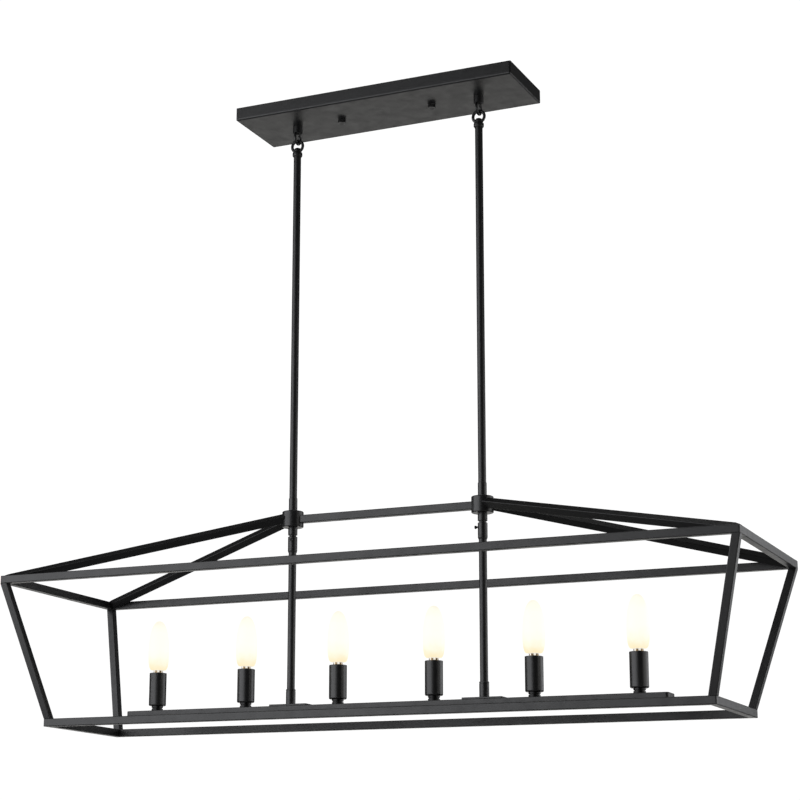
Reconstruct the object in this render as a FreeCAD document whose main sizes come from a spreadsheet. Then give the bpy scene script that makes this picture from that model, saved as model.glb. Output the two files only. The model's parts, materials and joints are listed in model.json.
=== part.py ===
import FreeCAD, Part
import Sketcher
import math
import os

# Linear island pendant: a rectangular ceiling canopy, two linked rods, a roof-shaped
# cage of square tube and, inside it, a lamp bar with six candle bulbs.
# Millimetres. Origin: middle of the plane where the strap and canopy meet the ceiling.
# +Z up, X along the length, -Y the front.

V = FreeCAD.Vector
doc = FreeCAD.newDocument("linear_island_pendant")

# ---------------------------------------------------------------- driving sizes
SIZES = [
    # ceiling mount
    ("canopy_len", 500.0, "canopy length"),
    ("canopy_wid", 142.0, "canopy width"),
    ("canopy_high", 22.5, "canopy height"),
    ("sheet_thick", 1.2, "sheet steel of canopy and lamp bar"),
    ("canopy_round", 1.6, "canopy lower edge radius"),
    ("strap_len", 200.0, "mounting strap length"),
    ("strap_wid", 25.0, "mounting strap width"),
    ("strap_thick", 2.5, "mounting strap thickness"),
    ("slot_pitch", 88.9, "distance between the two strap slots"),
    ("slot_len", 11.0, "strap slot length, end to end"),
    ("slot_rad", 2.4, "strap slot half width"),
    ("nut_off", 83.0, "cap nuts and studs, distance from the middle"),
    ("stud_rad", 2.0, "stud radius"),
    ("stud_end", -27.5, "lower end of the studs"),
    ("nut_rad", 6.5, "cap nut radius"),
    ("nut_lip_rad", 7.25, "cap nut lip radius"),
    ("nut_end", -29.0, "lower face of the cap nuts"),
    ("ground_off", 25.0, "ground screw, distance from the middle"),
    # links
    ("rod_off", 167.0, "rods and hubs, distance from the middle"),
    ("collar_rad", 8.2, "canopy loop collar radius"),
    ("collar_end", -35.5, "lower face of the collar"),
    ("collar_tip", -37.4, "lower tip of the collar cone"),
    ("ring_rad", 10.0, "ring centreline radius"),
    ("wire_rad", 2.5, "ring wire radius"),
    ("upper_ring", -43.1, "canopy ring centre height"),
    ("lower_ring", -58.0, "rod ring centre height"),
    ("saddle_top", -60.5, "top of the boss in the rod ring"),
    ("neck_rad", 6.5, "rod loop neck radius"),
    ("bead_top", -68.8, "bead, upper end"),
    ("bead_end", -77.2, "bead, lower end"),
    ("bead_rad", 8.5, "bead radius"),
    # threaded tube, nuts
    ("pipe_rad", 4.76, "threaded tube radius"),
    ("pipe_bore", 3.6, "threaded tube bore radius"),
    ("pipe_hole", 4.8, "tapped hole radius"),
    ("hex_flat", 14.0, "hex nut across flats"),
    # rods
    ("rod_rad", 6.35, "rod radius"),
    ("rod_bore", 4.9, "rod bore radius"),
    ("fit_rad", 6.38, "bore that takes a rod"),
    ("ferrule_top", -674.8, "upper end of the ferrule"),
    ("ferrule_rad", 7.1, "ferrule radius"),
    ("hub_top", -697.3, "hub upper face"),
    ("hub_end", -723.7, "hub lower face"),
    ("hub_rad", 17.6, "hub radius"),
    ("hub_round", 1.5, "hub edge radius"),
    ("stub_rad", 7.7, "stub and coupler radius"),
    ("stub_end", -736.6, "stub lower face"),
    ("waist_rad", 5.5, "coupler waist radius"),
    ("waist_end", -739.6, "waist, lower end"),
    ("screw_high", -745.8, "thumb screw height"),
    ("screw_rad", 1.5, "thumb screw stem radius"),
    ("screw_head", 2.75, "thumb screw head radius"),
    ("screw_out", 13.2, "thumb screw head, distance from the rod axis"),
    ("coupler_ring", -760.0, "coupler ring groove height"),
    ("coupler_end", -765.6, "coupler lower end"),
    ("lower_rod_top", -742.2, "lower rod, upper end"),
    ("lower_rod_end", -1010.0, "lower rod, lower end"),
    ("foot_top", -988.6, "rod foot, upper end"),
    ("foot_rad", 7.75, "rod foot radius"),
    ("plate_top", -1013.0, "foot plate upper face"),
    ("plate_len", 66.0, "foot plate length"),
    ("plate_wid", 25.0, "foot plate width"),
    # lamp bar and lamp holders
    ("bar_top", -1016.0, "lamp bar upper face"),
    ("bar_end", -1031.0, "lamp bar lower edge"),
    ("bar_len", 928.0, "lamp bar length"),
    ("bar_wid", 35.0, "lamp bar width"),
    ("bar_round", 4.5, "lamp bar corner radius"),
    ("cover_len", 915.0, "bar cover length"),
    ("cover_end", -1028.2, "bar cover lower face"),
    ("lamp_pitch", 166.0, "distance between lamp holders"),
    ("neck_top", -1007.3, "holder neck upper face"),
    ("holder_rad", 9.4, "holder neck radius"),
    ("sleeve_rad", 14.25, "candle sleeve radius"),
    ("sleeve_top", -953.2, "candle sleeve upper rim"),
    ("shell_bore", 7.1, "socket shell bore radius"),
    ("shell_wall", 0.55, "socket shell thickness"),
    ("crown_top", -949.2, "tips of the socket shell's prongs"),
    ("cap_rad", 6.95, "bulb cap radius"),
    ("glass_end", -948.7, "lower end of the bulb glass"),
    ("glass_wide", -919.0, "height of the bulb's widest section"),
    ("glass_rad", 17.5, "bulb radius"),
    ("glass_tip", -866.0, "tip of the bulb"),
    # cage of square tube
    ("tube", 12.7, "square tube, outer side"),
    ("tube_wall", 1.2, "square tube wall"),
    ("tube_round", 1.3, "square tube edge radius"),
    ("corner_round", 2.0, "frame corner radius in plan"),
    ("upper_len", 1240.0, "upper frame length"),
    ("upper_wid", 350.0, "upper frame width"),
    ("upper_top", -802.0, "upper frame upper face"),
    ("lower_len", 1125.0, "lower frame length"),
    ("lower_wid", 233.0, "lower frame width"),
    ("lower_top", -1033.8, "lower frame upper face"),
    ("post_top_x", 613.65, "post axis at the upper frame, X"),
    ("post_top_y", 168.65, "post axis at the upper frame, Y"),
    ("post_end_x", 556.15, "post axis at the lower frame, X"),
    ("post_end_y", 110.15, "post axis at the lower frame, Y"),
    ("ridge_mid", -710.95, "ridge bar axis height"),
    ("hip_start_x", 150.0, "hip axis where it crosses the middle plane, X"),
    ("hip_start_z", -703.3, "hip axis where it crosses the middle plane, Z"),
    ("hip_end_x", 613.65, "hip axis at the frame corner, X"),
    ("hip_end_y", 165.0, "hip axis at the frame corner, Y"),
    ("hip_end_z", -807.0, "hip axis at the frame corner, Z"),
    ("hip_roll", 35.6, "turn of the hip tube about its own axis, degrees"),
]
sheet = doc.addObject("Spreadsheet::Sheet", "Sizes")
for row, (alias, value, note) in enumerate(SIZES, 1):
    sheet.set("A%d" % row, note)
    sheet.set("B%d" % row, repr(value))
    sheet.setAlias("B%d" % row, alias)
doc.recompute()


class Dim:
    """A size read from the sheet, with the expression that gives it."""

    def __init__(self, value, text):
        self.value, self.text = value, text

    def _join(self, other, sign, value):
        text = other.text if isinstance(other, Dim) else repr(float(other))
        return Dim(value, "(%s %s %s)" % (self.text, sign, text))

    def __add__(self, other):
        return self._join(other, "+", self.value + num(other))

    def __sub__(self, other):
        return self._join(other, "-", self.value - num(other))

    def __mul__(self, other):
        return self._join(other, "*", self.value * num(other))

    def __truediv__(self, other):
        return self._join(other, "/", self.value / num(other))

    def __neg__(self):
        return Dim(-self.value, "(-1 * %s)" % self.text)


def num(value):
    return value.value if isinstance(value, Dim) else float(value)


def size(alias):
    return Dim(float(sheet.get(alias)), "Sizes." + alias)


def bind(obj, prop, value):
    if isinstance(value, Dim):
        obj.setExpression(prop, value.text)


D = {alias: size(alias) for alias, _, _ in SIZES}
PARTS = []                # (object, number of separate solids)


def part(obj, solids=1):
    PARTS.append((obj, solids))
    return obj


# ---------------------------------------------------------------- small builders
def body(name, x=0.0, y=0.0, z=0.0, turn=0.0):
    b = doc.addObject("PartDesign::Body", name)
    b.Label = name
    b.AllowCompound = True
    b.Placement = FreeCAD.Placement(V(num(x), num(y), num(z)), FreeCAD.Rotation(V(0, 0, 1), turn))
    for axis, value in (("x", x), ("y", y), ("z", z)):
        bind(b, "Placement.Base." + axis, value)
    return b


def sketch(b, plane="XZ_Plane", lift=0.0):
    s = b.newObject("Sketcher::SketchObject", b.Name + "_sketch")
    s.AttachmentSupport = [([o for o in b.Origin.OriginFeatures if o.Role == plane][0], "")]
    s.MapMode = "FlatFace"
    s.AttachmentOffset = FreeCAD.Placement(V(0, 0, num(lift)), FreeCAD.Rotation())
    bind(s, "AttachmentOffset.Base.z", lift)
    return s


def pin(s, geo, pos, x, y):
    for kind, value in (("DistanceX", x), ("DistanceY", y)):
        index = s.addConstraint(Sketcher.Constraint(kind, -1, 1, geo, pos, num(value)))
        bind(s, "Constraints[%d]" % index, value)


def polygon(s, points):
    first = s.GeometryCount
    count = len(points)
    for i, p in enumerate(points):
        q = points[(i + 1) % count]
        s.addGeometry(Part.LineSegment(V(num(p[0]), num(p[1]), 0), V(num(q[0]), num(q[1]), 0)), False)
    for i in range(count):
        s.addConstraint(Sketcher.Constraint("Coincident", first + i, 2, first + (i + 1) % count, 1))
    for i, p in enumerate(points):
        pin(s, first + i, 1, p[0], p[1])


def rectangle(s, x0, y0, x1, y1):
    polygon(s, [(x0, y0), (x1, y0), (x1, y1), (x0, y1)])


def block(s, long, wide, x=0.0):
    if isinstance(x, Dim):
        rectangle(s, x - long / 2, -wide / 2, x + long / 2, wide / 2)
    else:
        rectangle(s, long / -2, wide / -2, long / 2, wide / 2)


def circle(s, x, y, radius):
    geo = s.addGeometry(Part.Circle(V(num(x), num(y), 0), V(0, 0, 1), num(radius)), False)
    pin(s, geo, 3, x, y)
    index = s.addConstraint(Sketcher.Constraint("Radius", geo, num(radius)))
    bind(s, "Constraints[%d]" % index, radius)


def hexagon(s, x, flats):
    corner = flats / math.sqrt(3)
    points = []
    for k in range(6):
        a = math.radians(60 * k)
        points.append((x + corner * math.cos(a), corner * math.sin(a)))
    polygon(s, points)


def finish(b, feature):
    b.Tip = feature
    doc.recompute()
    return feature


def pad(b, s, length, down=False, middle=False):
    f = b.newObject("PartDesign::Pad", b.Name + "_pad")
    f.Profile = s
    f.Length = num(length)
    bind(f, "Length", length)
    f.Reversed = down
    if middle:
        f.SideType = "Symmetric"
    return finish(b, f)


def pocket(b, s, length, up=False, middle=False):
    before = b.Shape.Volume
    f = b.newObject("PartDesign::Pocket", b.Name + "_pocket")
    f.Profile = s
    f.Length = num(length)
    bind(f, "Length", length)
    f.Reversed = up
    if middle:
        f.SideType = "Symmetric"
    finish(b, f)
    if b.Shape.Volume > before - 0.5:
        raise RuntimeError("%s: the pocket cuts nothing" % b.Label)
    return f


def revolve(b, points):
    s = sketch(b)
    polygon(s, points)
    f = b.newObject("PartDesign::Revolution", b.Name + "_turned")
    f.Profile = s
    f.ReferenceAxis = (s, ["V_Axis"])
    f.Angle = 360
    return finish(b, f)


def edge_names(shape, test):
    return ["Edge%d" % (i + 1) for i, e in enumerate(shape.Edges) if test(e)]


def fillet(b, radius, test):
    base = b.Tip
    names = edge_names(base.Shape, test)
    if not names:
        raise RuntimeError("%s: no edge to round" % b.Label)
    f = b.newObject("PartDesign::Fillet", b.Name + "_round")
    f.Base = (base, names)
    f.Radius = num(radius)
    bind(f, "Radius", radius)
    return finish(b, f)


def middle_of(e):
    return e.valueAt((e.FirstParameter + e.LastParameter) / 2)


def upright(e):
    a, c = e.Vertexes[0].Point, e.Vertexes[-1].Point
    return len(e.Vertexes) == 2 and (a - c).Length > 0.5 and abs((a - c).z) > 0.99 * (a - c).Length


def flat_at(z, tol=0.01):
    return lambda e: all(abs(v.Point.z - z) < tol for v in e.Vertexes) and abs(middle_of(e).z - z) < tol


def ring_at(z, radius):
    def test(e):
        c = e.Curve
        return hasattr(c, "Radius") and abs(c.Radius - radius) < 0.01 and abs(middle_of(e).z - z) < 0.01
    return test


def row(b, span, count):
    """Repeats the whole piece along X."""
    f = b.newObject("PartDesign::LinearPattern", b.Name + "_row")
    f.TransformMode = "Whole shape"
    f.Direction = ([o for o in b.Origin.OriginFeatures if o.Role == "X_Axis"][0], [""])
    f.Length = num(span)
    bind(f, "Length", span)
    f.Occurrences = count
    return finish(b, f)


def lamps(name):
    return body(name, x=D["lamp_pitch"] * -2.5)


def lamp_row(b):
    row(b, D["lamp_pitch"] * 5, 6)
    return part(b, 6)


def pair(name):
    return body(name, x=-D["rod_off"])


def pair_row(b):
    row(b, D["rod_off"] * 2, 2)
    return part(b, 2)


def sleeve_piece(b, top, end, outer, bore):
    s = sketch(b, "XY_Plane", lift=top)
    circle(s, 0, 0, outer)
    circle(s, 0, 0, bore)
    return pad(b, s, top - end, down=True)


# ---------------------------------------------------------------- ceiling mount
# canopy: shallow pan, open towards the ceiling, lower edges slightly rounded
b = body("canopy")
s = sketch(b, "XY_Plane")
block(s, D["canopy_len"], D["canopy_wid"])
pad(b, s, D["canopy_high"], down=True)
low = flat_at(-num(D["canopy_high"]))
fillet(b, D["canopy_round"], lambda e: low(e) or upright(e))
s = sketch(b, "XY_Plane")
block(s, D["canopy_len"] - D["sheet_thick"] * 2, D["canopy_wid"] - D["sheet_thick"] * 2)
pocket(b, s, D["canopy_high"] - D["sheet_thick"])
s = sketch(b, "XY_Plane")
for side in (-1, 1):
    circle(s, D["nut_off"] * side, 0, D["stud_rad"] + 0.4)
    circle(s, D["rod_off"] * side, 0, D["pipe_hole"] + 0.2)
pocket(b, s, D["canopy_high"] * 2)
part(b)

# mounting strap: flat bar against the ceiling box, slotted for its two screws
b = body("mounting_strap")
s = sketch(b, "XY_Plane")
block(s, D["strap_len"], D["strap_wid"])
pad(b, s, D["strap_thick"], down=True)
fillet(b, 3.0, upright)
s = sketch(b, "XY_Plane")
for side in (-1, 1):
    mid = D["slot_pitch"] * (0.5 * side)
    half = D["slot_len"] / 2 - D["slot_rad"]
    rectangle(s, mid - half, -D["slot_rad"], mid + half, D["slot_rad"])
circle(s, 0, 0, D["pipe_hole"])
pocket(b, s, D["strap_thick"] * 2)
s = sketch(b, "XY_Plane")
for side in (-1, 1):
    mid = D["slot_pitch"] * (0.5 * side)
    half = D["slot_len"] / 2 - D["slot_rad"]
    circle(s, mid - half, 0, D["slot_rad"])
    circle(s, mid + half, 0, D["slot_rad"])
    circle(s, D["nut_off"] * side, 0, D["stud_rad"] + 0.02)
circle(s, D["ground_off"], 0, D["stud_rad"] + 0.02)
pocket(b, s, D["strap_thick"] * 2)
part(b)

# studs: threaded into the strap, through the canopy floor
b = body("strap_studs", x=-D["nut_off"])
s = sketch(b, "XY_Plane")
circle(s, 0, 0, D["stud_rad"])
pad(b, s, -D["stud_end"], down=True)
row(b, D["nut_off"] * 2, 2)
part(b, 2)

# ground screw: pan head under the strap
b = body("ground_screw", x=D["ground_off"])
t = -D["strap_thick"]
revolve(b, [(0, -0.2), (D["stud_rad"], -0.2), (D["stud_rad"], t), (3.9, t), (3.9, t - 1.4),
            (3.0, t - 2.3), (0, t - 2.3)])
part(b)

# cap nuts: knurled, with a lip at the lower edge, blind bore on the stud
for name, side in (("canopy_nut_left", -1), ("canopy_nut_right", 1)):
    b = body(name, x=D["nut_off"] * side)
    top, end = -D["canopy_high"], D["nut_end"]
    bore = D["stud_rad"] + 0.1
    revolve(b, [(bore, top), (D["nut_rad"] - 0.4, top), (D["nut_rad"], top - 0.4),
                (D["nut_rad"], end + 1.4), (D["nut_lip_rad"], end + 0.7),
                (D["nut_lip_rad"], end + 0.25), (D["nut_lip_rad"] - 0.4, end), (0, end),
                (0, D["stud_end"] - 0.3), (bore, D["stud_end"] - 0.3)])
    part(b)

# canopy loops: turned collar with a ring across it
for name, side in (("canopy_loop_left", -1), ("canopy_loop_right", 1)):
    b = body(name, x=D["rod_off"] * side)
    top, end = -D["canopy_high"], D["collar_end"]
    revolve(b, [(D["pipe_hole"], top), (D["collar_rad"], top), (D["collar_rad"], end + 0.8),
                (D["collar_rad"] - 0.8, end), (D["collar_rad"] - 1.6, end),
                (3.0, D["collar_tip"]), (0, D["collar_tip"]), (0, end + 5.4),
                (D["pipe_hole"], end + 5.4)])
    ring = b.newObject("PartDesign::AdditiveTorus", name + "_ring")
    ring.Radius1 = num(D["ring_rad"])
    ring.Radius2 = num(D["wire_rad"])
    bind(ring, "Radius1", D["ring_rad"])
    bind(ring, "Radius2", D["wire_rad"])
    ring.Placement = FreeCAD.Placement(V(0, 0, num(D["upper_ring"])), FreeCAD.Rotation(V(0, 1, 0), 90))
    bind(ring, "Placement.Base.z", D["upper_ring"])
    finish(b, ring)
    part(b)

# threaded tubes and hex nuts that hold the loops in the canopy floor
b = pair("loop_nipples")
sleeve_piece(b, Dim(-12.0, "-12.0"), D["collar_end"] + 5.6, D["pipe_rad"], D["pipe_bore"])
pair_row(b)
b = pair("loop_lock_nuts")
s = sketch(b, "XY_Plane", lift=-D["canopy_high"] + D["sheet_thick"])
hexagon(s, Dim(0.0, "0.0"), D["hex_flat"])
circle(s, 0, 0, D["pipe_hole"])
pad(b, s, 4.0)
pair_row(b)

# ---------------------------------------------------------------- links and rods
for name, side in (("rod_loop_left", -1), ("rod_loop_right", 1)):
    b = body(name, x=D["rod_off"] * side)
    t, e, n, r = D["bead_top"], D["bead_end"], D["neck_rad"], D["bead_rad"]
    sd = D["saddle_top"]
    revolve(b, [(0, sd), (2.2, sd - 0.25), (4.2, sd - 1.1), (5.6, sd - 2.4), (n - 0.15, sd - 4.0),
                (n, sd - 5.2), (n, t), (r - 1.0, t - 0.35), (r - 0.3, t - 1.2), (r, t - 2.4),
                (r, e + 2.4), (r - 0.3, e + 1.2), (r - 1.0, e + 0.35), (r - 1.6, e),
                (D["pipe_rad"], e), (D["pipe_rad"], e - 14.0), (0, e - 14.0)])
    ring = b.newObject("PartDesign::AdditiveTorus", name + "_ring")
    ring.Radius1 = num(D["ring_rad"])
    ring.Radius2 = num(D["wire_rad"])
    bind(ring, "Radius1", D["ring_rad"])
    bind(ring, "Radius2", D["wire_rad"])
    ring.Placement = FreeCAD.Placement(V(0, 0, num(D["lower_ring"])), FreeCAD.Rotation(V(1, 0, 0), 90))
    bind(ring, "Placement.Base.z", D["lower_ring"])
    finish(b, ring)
    part(b)

for name, side in (("upper_rod_left", -1), ("upper_rod_right", 1)):
    b = body(name, x=D["rod_off"] * side)
    sleeve_piece(b, D["bead_end"], D["hub_top"], D["rod_rad"], D["rod_bore"])
    part(b)

b = pair("rod_ferrules")
top, end, r = D["ferrule_top"], D["hub_top"], D["ferrule_rad"]
revolve(b, [(D["fit_rad"], top), (r - 0.4, top), (r, top - 0.5), (r, end), (D["fit_rad"], end)])
pair_row(b)

# hubs: short turned cylinders that gather rod, ridge and hips
for name, side in (("hub_left", -1), ("hub_right", 1)):
    b = body(name, x=D["rod_off"] * side)
    sleeve_piece(b, D["hub_top"], D["hub_end"], D["hub_rad"], D["pipe_hole"])
    upper = ring_at(num(D["hub_top"]), num(D["hub_rad"]))
    lower = ring_at(num(D["hub_end"]), num(D["hub_rad"]))
    fillet(b, D["hub_round"], lambda e: upper(e) or lower(e))
    part(b)

b = pair("hub_nipples")
sleeve_piece(b, D["hub_top"] + 12.0, D["waist_end"] - 1.9, D["pipe_rad"], D["pipe_bore"])
pair_row(b)
b = pair("hub_stubs")
top, end, r = D["hub_end"], D["stub_end"], D["stub_rad"]
revolve(b, [(D["pipe_hole"], top), (r - 1.3, top), (r - 1.3, top - 0.9), (r, top - 1.2), (r, end + 0.5),
            (r - 0.5, end), (D["pipe_hole"], end)])
pair_row(b)

# couplers: necked sleeves that clamp the lower rods with a thumb screw
# the screw of the right one points along -X, that of the left one towards the front
SCREWS = (("left", -1, 107.0), ("right", 1, 0.0))
for name, side, turn in SCREWS:
    b = body("coupler_" + name, x=D["rod_off"] * side, turn=turn)
    top, wst, end, r = D["stub_end"], D["waist_end"], D["coupler_end"], D["stub_rad"]
    g = D["coupler_ring"]
    revolve(b, [(D["pipe_hole"], top), (D["waist_rad"], top), (D["waist_rad"], wst + 1.2), (r, wst),
                (r, g + 0.35), (r - 0.4, g + 0.15), (r - 0.4, g - 0.15), (r, g - 0.35),
                (r, end + 2.8), (r - 0.6, end + 0.7), (r - 0.95, end), (D["fit_rad"], end),
                (D["fit_rad"], wst - 2.4), (D["pipe_hole"], wst - 2.4)])
    s = sketch(b, "YZ_Plane")
    circle(s, 0, D["screw_high"], D["screw_rad"] + 0.1)
    pocket(b, s, 20.0)
    part(b)

for name, side, turn in SCREWS:
    b = body("thumb_screw_" + name)
    a = math.radians(180.0 + turn)
    way = V(math.cos(a), math.sin(a), 0)
    stem, head, out = D["screw_rad"], D["screw_head"], D["screw_out"]
    revolve(b, [(0, 6.5), (stem, 6.5), (stem, out - 4.6), (stem + 0.35, out - 3.2), (head - 0.25, out - 1.9),
                (head, out - 1.5), (head, out - 0.5), (head - 0.5, out), (0, out)])
    b.Placement = FreeCAD.Placement(V(num(D["rod_off"]) * side, 0, num(D["screw_high"])),
                                    FreeCAD.Rotation(V(0, 0, 1), way))
    bind(b, "Placement.Base.x", D["rod_off"] * side)
    bind(b, "Placement.Base.z", D["screw_high"])
    part(b)

for name, side in (("lower_rod_left", -1), ("lower_rod_right", 1)):
    b = body(name, x=D["rod_off"] * side)
    sleeve_piece(b, D["lower_rod_top"], D["lower_rod_end"], D["rod_rad"], D["rod_bore"])
    part(b)

b = pair("rod_feet")
top, end, r = D["foot_top"], D["plate_top"], D["foot_rad"]
revolve(b, [(D["fit_rad"], top), (r - 0.5, top), (r, top - 0.6), (r, top - 2.8), (r - 0.5, top - 3.1),
            (r - 0.5, top - 3.4), (r, top - 3.7), (r, end), (D["pipe_hole"], end),
            (D["pipe_hole"], D["lower_rod_end"] - 0.1), (D["fit_rad"], D["lower_rod_end"] - 0.1)])
pair_row(b)

b = pair("foot_plates")
s = sketch(b, "XY_Plane", lift=D["plate_top"])
block(s, D["plate_len"], D["plate_wid"])
circle(s, 0, 0, D["pipe_hole"])
pad(b, s, D["plate_top"] - D["bar_top"], down=True)
fillet(b, 1.0, upright)
pair_row(b)

# ---------------------------------------------------------------- lamp bar
# pressed tray, open below
b = body("lamp_bar")
s = sketch(b, "XY_Plane", lift=D["bar_top"])
block(s, D["bar_len"], D["bar_wid"])
pad(b, s, D["bar_top"] - D["bar_end"], down=True)
fillet(b, D["bar_round"], upright)
fillet(b, 1.0, flat_at(num(D["bar_top"])))
base = b.Tip
face = [i for i, f in enumerate(base.Shape.Faces)
        if abs(f.CenterOfMass.z - num(D["bar_end"])) < 0.01 and f.Area > 1000][0]
before = b.Shape.Volume
tray = b.newObject("PartDesign::Thickness", "lamp_bar_tray")
tray.Base = (base, ["Face%d" % (face + 1)])
tray.Value = num(D["sheet_thick"])
bind(tray, "Value", D["sheet_thick"])
tray.Reversed = True
tray.Join = 1
finish(b, tray)
if not 0.05 * before < b.Shape.Volume < 0.4 * before:
    raise RuntimeError("lamp_bar: the tray isn't hollow")
s = sketch(b, "XY_Plane", lift=D["bar_top"])
for k in (-2.5, -1.5, -0.5, 0.5, 1.5, 2.5):
    circle(s, D["lamp_pitch"] * k, 0, D["pipe_hole"] + 0.1)
for side in (-1, 1):
    circle(s, D["rod_off"] * side, 0, D["pipe_hole"] + 0.1)
pocket(b, s, D["sheet_thick"] * 2)
part(b)

# cover: shallow channel nested in the tray from below
b = body("lamp_bar_cover")
s = sketch(b, "YZ_Plane")
half = D["bar_wid"] / 2 - D["sheet_thick"] - 0.2
low, high = D["cover_end"], D["bar_top"] - D["sheet_thick"] - 0.1
polygon(s, [(-half, low), (half, low), (half, high), (half - 1.0, high), (half - 1.0, low + 1.2),
            (-half + 1.0, low + 1.2), (-half + 1.0, high), (-half, high)])
pad(b, s, D["cover_len"], middle=True)
s = sketch(b, "XY_Plane", lift=low + 1.2)
for side in (-1, 1):
    circle(s, D["rod_off"] * side, 0, D["pipe_hole"] + 0.1)
pocket(b, s, 3.0)
part(b)

# threaded tubes: six short ones under the lamp holders, two long ones under the rods
b = body("bar_nipples")
s = sketch(b, "XY_Plane", lift=D["neck_top"] + 10.0)
for k in (-2.5, -1.5, -0.5, 0.5, 1.5, 2.5):
    circle(s, D["lamp_pitch"] * k, 0, D["pipe_rad"])
    circle(s, D["lamp_pitch"] * k, 0, D["pipe_bore"])
pad(b, s, D["neck_top"] - D["bar_end"] + 4.5, down=True)
s = sketch(b, "XY_Plane", lift=D["foot_top"] - 2.0)
for side in (-1, 1):
    circle(s, D["rod_off"] * side, 0, D["pipe_rad"])
    circle(s, D["rod_off"] * side, 0, D["pipe_bore"])
pad(b, s, D["foot_top"] - D["bar_end"] - 2.0, down=True)
part(b, 8)

b = body("bar_nuts")
s = sketch(b, "XY_Plane", lift=D["bar_top"] - D["sheet_thick"])
for k in (-2.5, -1.5, -0.5, 0.5, 1.5, 2.5):
    hexagon(s, D["lamp_pitch"] * k, D["hex_flat"])
    circle(s, D["lamp_pitch"] * k, 0, D["pipe_hole"])
for side in (-1, 1):
    hexagon(s, D["rod_off"] * side, D["hex_flat"])
    circle(s, D["rod_off"] * side, 0, D["pipe_hole"])
pad(b, s, 4.5, down=True)
part(b, 8)

b = pair("cover_nuts")
s = sketch(b, "XY_Plane", lift=D["cover_end"])
hexagon(s, Dim(0.0, "0.0"), D["hex_flat"])
circle(s, 0, 0, D["pipe_hole"])
pad(b, s, D["cover_end"] - D["bar_end"], down=True)
pair_row(b)

# ---------------------------------------------------------------- lamp holders, six alike
b = lamps("holder_necks")
top, end, r = D["neck_top"], D["bar_top"], D["holder_rad"]
revolve(b, [(D["pipe_hole"], top), (r - 0.3, top), (r, top - 0.4), (r, top - 3.2), (r - 1.3, top - 3.6),
            (r - 1.3, top - 4.6), (r, top - 5.0), (r, end), (D["pipe_hole"], end)])
lamp_row(b)

b = lamps("candle_sleeves")
top, end, r = D["sleeve_top"], D["neck_top"], D["sleeve_rad"]
revolve(b, [(D["pipe_hole"], end), (r - 1.5, end), (r - 0.45, end + 0.45), (r, end + 1.5), (r, top - 0.3),
            (r - 0.3, top), (r - 1.2, top), (r - 1.2, end + 1.5), (D["pipe_hole"], end + 1.5)])
lamp_row(b)

b = lamps("socket_bodies")
bore = D["shell_bore"] + D["shell_wall"] + 0.05
low = D["neck_top"] + 1.5
revolve(b, [(D["pipe_hole"], low), (12.0, low), (12.0, D["sleeve_top"] - 2.3), (bore, D["sleeve_top"] - 2.3),
            (bore, D["crown_top"] - 30.0), (0, D["crown_top"] - 30.0), (0, low + 10.0),
            (D["pipe_hole"], low + 10.0)])
lamp_row(b)

# screw shell: its top is cut into six springy prongs
b = lamps("socket_shells")
inner, outer = D["shell_bore"], D["shell_bore"] + D["shell_wall"]
low, high = D["crown_top"] - 29.0, D["crown_top"]
revolve(b, [(inner, low), (outer, low), (outer, high), (inner, high)])
for k in range(3):
    s = sketch(b, "XY_Plane", lift=high)
    a = math.radians(60.0 * k)
    ux, uy = math.cos(a), math.sin(a)
    long, wide = 12.0, 1.9
    polygon(s, [(i * long * ux - j * wide * uy, i * long * uy + j * wide * ux)
                for i, j in ((-1, -1), (1, -1), (1, 1), (-1, 1))])
    pocket(b, s, 6.2)
row(b, D["lamp_pitch"] * 5, 6)
part(b, 6)

b = lamps("socket_contacts")
low = D["crown_top"] - 30.0
revolve(b, [(0, low), (3.0, low), (3.0, low + 0.5), (1.6, low + 1.4), (0, low + 1.4)])
lamp_row(b)

# candle bulbs: thin glass on a screw cap
for k in range(6):
    b = body("bulb_%d" % (k + 1), x=D["lamp_pitch"] * (k - 2.5))
    tip, wide, low, r = D["glass_tip"], D["glass_wide"], D["glass_end"], D["glass_rad"]
    cap = D["cap_rad"]
    base = D["crown_top"] - 28.4
    up, down = tip - wide, wide - low

    def outline(inset):
        """Blunt candle outline from the neck to the tip."""
        pts = []
        for q in (0.0, 0.04, 0.11, 0.22, 0.36, 0.52, 0.70, 0.86, 1.0):
            grow = 0.62 + 0.38 * (1.0 - (1.0 - q) ** 2.4) ** (1 / 2.4)
            pts.append((r * grow - inset, low + down * q + (0.4 if q == 0.0 else 0.0)))
        for q in (0.14, 0.28, 0.41, 0.53, 0.64, 0.73, 0.81, 0.88, 0.935, 0.975):
            g = (1.0 - q ** 2.2) ** (1 / 2.2)
            pts.append((r * g - inset, wide + (up - inset) * q))
        return pts

    revolve(b, [(0, base), (2.2, base), (2.8, base + 1.0), (5.2, base + 1.9), (cap, base + 3.4),
                (cap, low - 0.3), (8.6, low + 0.1)] + outline(0.0) + [(0, tip)])
    before = b.Shape.Volume
    s = sketch(b)
    polygon(s, [(0, low + 1.6), (10.0, low + 1.6)] + outline(1.0)[2:] + [(0, tip - 1.0)])
    g = b.newObject("PartDesign::Groove", b.Name + "_hollow")
    g.Profile = s
    g.ReferenceAxis = (s, ["V_Axis"])
    g.Angle = 360
    finish(b, g)
    if b.Shape.Volume > 0.6 * before:
        raise RuntimeError("%s: the glass isn't hollow" % b.Label)
    part(b)


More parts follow.
